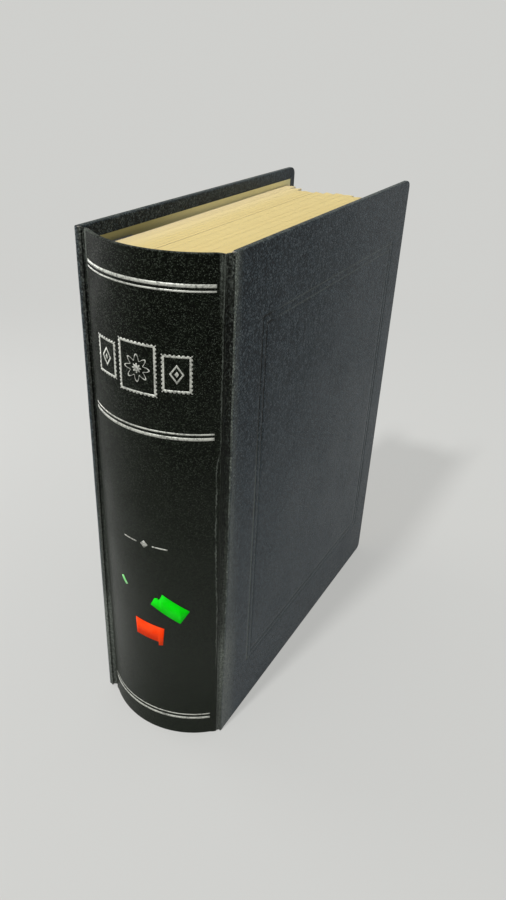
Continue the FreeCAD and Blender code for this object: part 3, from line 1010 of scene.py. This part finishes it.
# Painted shade darkens the lining towards the spine.
near_joint = 1 - split(nodes, place)[1].rise(*shade_depths)
cover_with(nodes, near_joint.fade(paper, lining_in_shade), 0.8, fibre, 0.05 * MM)
for side in ("front", "back"):
    dress(f"{side}_lining_paper", lining_paper)

# Foil rules
# Three pairs of silver-foil rules are stamped across the spine, a thick line and a thin one in each pair.
# The foil is a film pressed into the grain, patchy where the grain shows through.
foil_pale = (0.53, 0.54, 0.485, 1)
foil_thin = (0.20, 0.205, 0.185, 1)
foil_film = 0.06 * MM
foil_scatter = 0.03 * MM
film_step = 1.5 * MM
film_weld = 0.002 * MM
rule_start = -37.4
rule_end = 42.4
thick_rule = 1.6 * MM
thin_rule = 0.85 * MM

silver_foil, nodes = new_finish("silver_foil")
place = solid_place(nodes)
grain = noise(nodes, place, 1000, 3)
patch = noise(nodes, place, 160, 3)
bare = (grain * 0.75 + patch * 0.45).rise(0.54, 0.78)
cover_with(nodes, bare.fade(foil_pale, foil_thin), 0.42 + bare * 0.2, grain, 0.04 * MM, Metallic=0.35)


def stamped(name, outlines, film, material):
    """A thin film on the spine with the given outlines: distances round from its middle, and heights."""
    bm = bmesh.new()
    for outline in outlines:
        bm.faces.new([bm.verts.new((run, height, 0)) for run, height in outline])
    runs = [vertex.co.x for vertex in bm.verts]
    for run in steps_between(min(runs), max(runs), film_step)[1:-1]:
        geometry = bm.verts[:] + bm.edges[:] + bm.faces[:]
        bmesh.ops.bisect_plane(bm, geom=geometry, plane_co=(run, 0, 0), plane_no=(1, 0, 0))
    bmesh.ops.remove_doubles(bm, verts=bm.verts, dist=film_weld)
    bmesh.ops.triangulate(bm, faces=bm.faces)
    bm.normal_update()
    bmesh.ops.reverse_faces(bm, faces=[face for face in bm.faces if face.normal.z < 0])
    for vertex in bm.verts:
        run, height, _ = vertex.co
        vertex.co = (*on_spine(math.degrees(run / spine_radius), film), height)
    made = settled_piece(name, bm)
    thicken(made, film, -1)
    made.data.materials.append(material)
    return made


def rule(height, width):
    """One rule's outline, its edges a little uneven as foil is."""
    first, last = [math.radians(degrees) * spine_radius for degrees in (rule_start, rule_end)]
    runs = steps_between(first, last, film_step)
    foot = [(run, height - width / 2 + scatter.uniform(-1, 1) * foil_scatter) for run in runs]
    head = [(run, height + width / 2 + scatter.uniform(-1, 1) * foil_scatter) for run in reversed(runs)]
    return foot + head


rule_pairs = {
    "head": (285.9 * MM, 283.4 * MM),
    "middle": (210.4 * MM, 213.0 * MM),
    "foot": (14.2 * MM, 17.2 * MM),
}
for level, (thick, thin) in rule_pairs.items():
    lines = [rule(thick, thick_rule), rule(thin, thin_rule)]
    piece = stamped(f"{level}_foil_rules", lines, foil_film, silver_foil)
    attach(piece, "binding")

# Spine ornament
# Three stamps with perforated edges, a rosette in the large one and a lozenge in each small one, and below
# them a lozenge between two bars, are stamped on the spine in the same foil as the rules.
ornament_middle = 2 * MM
stamps_middle = 244 * MM
divider_middle = 142 * MM
large_stamp = (10.6 * MM, 13.2 * MM)
small_stamp = (7.4 * MM, 9.6 * MM)
stamp_gap = 2.2 * MM
perforation_pitch = 2.1 * MM
perforation_radius = 0.6 * MM
stamp_border = 1.5 * MM
foil_line = 0.75 * MM
bite_steps = 5
petal_count = 8
petal_depth = 0.22
rosette_steps = 96
rosette_radius = 7.2 * MM
rosette_heart = 2.6 * MM


def ring(outer, inner):
    """The film between two closed lines with as many points each, as four-sided outlines."""
    count = len(outer)
    return [(outer[k], outer[(k + 1) % count], inner[(k + 1) % count], inner[k]) for k in range(count)]


def perforated_side(half):
    """One side of a stamp as distances along it and into it: half-round bites with flat teeth between."""
    count = round(2 * half / perforation_pitch)
    side = [(-half, 0)]
    for bite in range(count):
        middle = -half + 2 * half * (bite + 0.5) / count
        for step in range(bite_steps + 1):
            angle = math.pi * step / bite_steps
            side.append((middle - perforation_radius * math.cos(angle), perforation_radius * math.sin(angle)))
    return side


def stamp_frame(width, height):
    """A stamp's printed border with its perforated edge, about the middle: half width and half height."""
    edge = []
    for quarter in range(4):
        half, out = (width, height) if quarter % 2 == 0 else (height, width)
        turn = Matrix.Rotation(math.pi / 2 * quarter, 2)
        edge += [turn @ Vector((along, bite - out)) for along, bite in perforated_side(half)]
    inside = (width - stamp_border, height - stamp_border)
    window = [[max(-most, min(most, value)) for most, value in zip(inside, point)] for point in edge]
    return ring(edge, window)


def rosette(radius):
    """A closed line with petals."""
    turns = [2 * math.pi * step / rosette_steps for step in range(rosette_steps)]
    reach = [radius * (1 - petal_depth + petal_depth * math.cos(petal_count * turn)) for turn in turns]
    return [(far * math.cos(turn), far * math.sin(turn)) for far, turn in zip(reach, turns)]


def lozenge(width, height):
    return [(-width, 0), (0, -height), (width, 0), (0, height)]


def bar(left, right):
    half = foil_line / 2
    return [(left, -half), (right, -half), (right, half), (left, half)]


def moved(outlines, run, height):
    return [[(x + run, y + height) for x, y in outline] for outline in outlines]


petals = ring(rosette(rosette_radius), rosette(rosette_radius - foil_line)) + [rosette(rosette_heart)]
diamond = ring(lozenge(3.6 * MM, 4.9 * MM), lozenge(2.6 * MM, 3.54 * MM)) + [lozenge(1.1 * MM, 1.5 * MM)]
beside = large_stamp[0] + stamp_gap + small_stamp[0]
stamps = moved(stamp_frame(*large_stamp) + petals, ornament_middle, stamps_middle)
for run in (ornament_middle - beside, ornament_middle + beside):
    stamps += moved(stamp_frame(*small_stamp) + diamond, run, stamps_middle)
divider = [lozenge(2.4 * MM, 2.4 * MM), bar(-14 * MM, -5 * MM), bar(5 * MM, 14 * MM)]
divider = moved(divider, ornament_middle, divider_middle)
for name, outlines in (("foil_stamps", stamps), ("foil_divider", divider)):
    piece = stamped(name, outlines, foil_film, silver_foil)
    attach(piece, "binding")

# Price stickers
# Two blank price stickers of fluorescent paper, and a scrap of a third, are stuck to the lower part of the
# spine. Their torn edges show where someone picked at them.
sticker_paper = 0.12 * MM
green_bright = (0.001, 0.67, 0.003, 1)
green_faded = (0.012, 0.73, 0.02, 1)
orange_bright = (0.86, 0.038, 0.001, 1)
orange_faded = (0.88, 0.064, 0.009, 1)
torn_green = (0.2, 0.62, 0.2, 1)
torn_white = (0.5, 0.75, 0.48, 1)


def sticker_finish(name, bright, paler):
    material, nodes = new_finish(name)
    place = solid_place(nodes)
    fibre = noise(nodes, place, 900, 3)
    cloud = noise(nodes, place, 120, 3)
    colour = cloud.rise(0.4, 0.75).fade(bright, paler)
    cover_with(nodes, colour, 0.55 + fibre * 0.15, fibre, 0.03 * MM, Specular_IOR_Level=0.06)
    return material


green_paper = sticker_finish("green_sticker_paper", green_bright, green_faded)
orange_paper = sticker_finish("orange_sticker_paper", orange_bright, orange_faded)
torn_paper = sticker_finish("torn_sticker_paper", torn_green, torn_white)
green_outline = [(5, 101.1), (7.5, 106.5), (9.4, 106.9), (9.7, 105.9), (10.9, 106.9), (12.2, 110.4)]
green_outline += [(27.9, 100.8), (22.6, 91.3)]
orange_outline = [(-6, 86.8), (13.1, 85.3), (12, 72.3), (9.4, 71.3), (9.4, 74.2), (-5.5, 74.9)]
scrap_outline = [(-16.7, 111.2), (-15, 112.2), (-13.1, 109.6), (-11.3, 107.7), (-13, 106.7), (-15.1, 108.7)]
for name, outline, material, slot in (
    ("green_sticker", green_outline, green_paper, "green_sticker"),
    ("green_sticker_scrap", scrap_outline, torn_paper, "green_sticker"),
    ("orange_sticker", orange_outline, orange_paper, "orange_sticker"),
):
    outline = [(run * MM, height * MM) for run, height in outline]
    piece = stamped(name, [outline], sticker_paper, material)
    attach(piece, "binding")

# Floor, light and camera
# A plain pale floor under a soft key light from the spine side and three fill panels, and a camera above the
# front joint, where the photograph was taken from.
floor_pale = (0.625, 0.627, 0.608, 1)
floor_radius = 60
floor_gap = 0.05 * MM
floor_own_light = 0.64
floor_far = (0.3, 0.8)
world_light = 0.45
key_light = 2.13
key_softness = 5
key_direction = (0.15, 1, -1.25)
panel_size = 0.5
panels = {
    "fore_panel": (1.2, (0.75, 0.95, 0.28)),
    "left_panel": (5.4, (-0.95, -0.1, 0.2)),
    "spine_panel": (1.0, (-0.3, -1.3, 0.4)),
}
panel_target = Vector((0, 0, 0.15))
camera_place = (199.09 * MM, -367.51 * MM, 383.77 * MM)
camera_yaw = 28.45
camera_pitch = 30.17
camera_roll = 2.74
camera_lens = 29.28
film_width = 36
nearest_seen = 0.01


def looked_at(nodes):
    """1 where the camera, a mirror or glass looks, 0 for light that only falls there."""
    kinds = ("Is Camera Ray", "Is Glossy Ray", "Is Transmission Ray")
    camera_ray, glossy_ray, glass_ray = [nodes.node("LightPath", {}, {}, kind) for kind in kinds]
    return camera_ray.above(glossy_ray).above(glass_ray)


floor_paint, nodes = new_finish("floor_paint")
matt = {"Base Color": floor_pale, "Roughness": 0.9, "Specular IOR Level": 0.2}
surface = nodes.node("BsdfPrincipled", {}, matt)
glow = nodes.node("Emission", {}, {"Color": floor_pale})
seen = looked_at(nodes)
place = solid_place(nodes)
far = nodes.node("VectorMath", {"operation": "LENGTH"}, {0: place}, "Value").rise(*floor_far)
own_light = floor_own_light + far * (1 - floor_own_light)
surface = nodes.node("MixShader", {}, {0: seen * own_light, 1: surface, 2: glow})
nodes.node("OutputMaterial", {}, {"Surface": surface})
bm = bmesh.new()
bmesh.ops.create_circle(bm, cap_ends=True, segments=96, radius=floor_radius)
floor = settled_piece("floor", bm)
floor.location.z = -floor_gap
floor.data.materials.append(floor_paint)

world = bpy.data.worlds.new("studio")
bpy.context.scene.world = world
world.use_nodes = True
world.node_tree.nodes.clear()
sky = Shade(world.node_tree)
lighting = sky.node("Background", {}, {"Color": (1, 1, 1, 1), "Strength": world_light})
backdrop = sky.node("Background", {}, {"Color": floor_pale, "Strength": 1.0})
mixed = sky.node("MixShader", {}, {0: looked_at(sky), 1: lighting, 2: backdrop})
sky.node("OutputWorld", {}, {"Surface": mixed})

sun = bpy.data.lights.new("key_light", "SUN")
sun.energy = key_light
sun.angle = math.radians(key_softness)
key = placed("key_light", sun)
key.rotation_euler = Vector(key_direction).to_track_quat("-Z", "Y").to_euler()

for name, (power, stand) in panels.items():
    lamp = bpy.data.lights.new(name, "AREA")
    lamp.energy = power
    lamp.size = panel_size
    panel = placed(name, lamp)
    panel.location = stand
    panel.rotation_euler = (panel_target - Vector(stand)).to_track_quat("-Z", "Y").to_euler()

camera = bpy.data.cameras.new("camera")
camera.lens = camera_lens
camera.sensor_width = film_width
camera.clip_start = nearest_seen
eye = placed("camera", camera)
yaw = Matrix.Rotation(math.radians(camera_yaw), 4, "Z")
pitch = Matrix.Rotation(math.radians(90 - camera_pitch), 4, "X")
roll = Matrix.Rotation(math.radians(camera_roll), 4, "Z")
eye.matrix_world = Matrix.Translation(camera_place) @ yaw @ pitch @ roll
bpy.context.scene.camera = eye
bpy.context.scene.view_settings.view_transform = "Standard"
